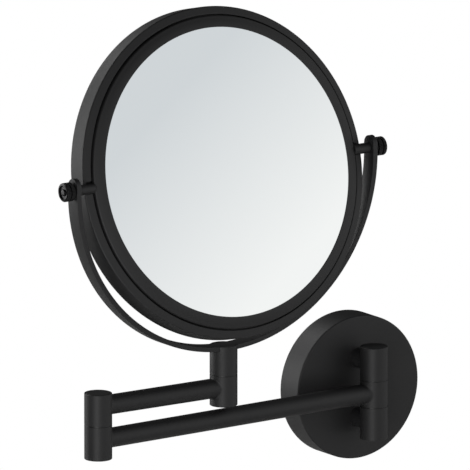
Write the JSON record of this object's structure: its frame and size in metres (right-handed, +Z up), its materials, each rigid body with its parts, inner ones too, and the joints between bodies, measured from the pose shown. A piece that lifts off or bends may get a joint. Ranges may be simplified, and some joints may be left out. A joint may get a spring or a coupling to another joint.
{
  "type": "extendable wall mirror",
  "caption": "Round tilting shaving mirror in a U-shaped yoke, on two swing arms that fold over each other beside a round wall rosette, matte black.",
  "frame": {"origin": "centre of the wall plate's back face, on the wall", "axes": "+Y into the wall, +Z up, +X to the right of someone facing the wall; the object stands out towards -Y"},
  "size_m": [0.3132, 0.0806, 0.3322],
  "materials": {
    "black_coat": "matte powder coat",
    "black_oxide": "blackened, satin",
    "zinc_steel": "zinc plated, satin",
    "black_nylon": "moulded, matte",
    "silvered_glass": "polished, silvered behind",
    "foam": "closed-cell foam"
  },
  "bodies": {
    "wall": {"wall_plate": "zinc_steel", "rosette_cover": "black_coat", "rosette_grub_screw": "black_oxide", "hinge_stub_upper": "black_coat", "hinge_stub_lower": "black_coat", "stub_screws": "zinc_steel", "wall_knuckle_upper": "black_coat", "wall_knuckle_lower": "black_coat", "wall_hinge_pin": "zinc_steel", "wall_hinge_caps": "black_coat"},
    "long_arm": {"long_arm_root_knuckle": "black_coat", "long_arm_tube": "black_coat", "elbow_lower_knuckle": "black_coat", "wall_hinge_bushes": "black_nylon", "elbow_pin": "zinc_steel", "elbow_nut": "zinc_steel", "elbow_bottom_cap": "black_coat"},
    "short_arm": {"elbow_upper_knuckle": "black_coat", "short_arm_tube": "black_coat", "post_lower_knuckle": "black_coat", "elbow_bushes": "black_nylon", "post_bushes": "black_nylon", "elbow_top_cap": "black_coat", "post_bottom_cap": "black_coat"},
    "yoke": {"swivel_post": "black_coat", "post_shoulder_screw": "zinc_steel", "yoke_band": "black_coat", "yoke_screw": "black_oxide", "yoke_bushes": "black_nylon"},
    "head": {"head_drum": "black_coat", "bezel_ring": "black_coat", "mirror_glass": "silvered_glass", "foam_pad": "foam", "core_plate": "zinc_steel", "core_screws": "zinc_steel", "cover_standoffs": "zinc_steel", "back_cover": "black_coat", "cover_screws": "black_oxide", "pivot_stud_left": "black_coat", "pivot_stud_right": "black_coat"},
    "knob_l": {"knob_left": "black_oxide"},
    "knob_r": {"knob_right": "black_oxide"}
  },
  "joints": [
    {"name": "wall_swing", "type": "hinge", "parent": "wall", "child": "long_arm", "pos_m": [0, -0.0403, 0], "axis": [0, 0, 1], "range_deg": [-2.5, 177.5]},
    {"name": "elbow_swing", "type": "hinge", "parent": "long_arm", "child": "short_arm", "pos_m": [-0.23456, -0.05095, 0], "axis": [0, 0, 1], "continuous": true},
    {"name": "post_swivel", "type": "hinge", "parent": "short_arm", "child": "yoke", "pos_m": [-0.13176, -0.05095, 0], "axis": [0, 0, 1], "continuous": true},
    {"name": "head_tilt", "type": "hinge", "parent": "yoke", "child": "head", "pos_m": [-0.13176, -0.05095, 0.175], "axis": [1, 0, 0], "continuous": true},
    {"name": "knob_left_turn", "type": "hinge", "parent": "head", "child": "knob_l", "pos_m": [-0.13176, -0.05095, 0.175], "axis": [-1, 0, 0], "range_deg": [0, 360]},
    {"name": "knob_right_turn", "type": "hinge", "parent": "head", "child": "knob_r", "pos_m": [-0.13176, -0.05095, 0.175], "axis": [1, 0, 0], "range_deg": [0, 360]}
  ]
}
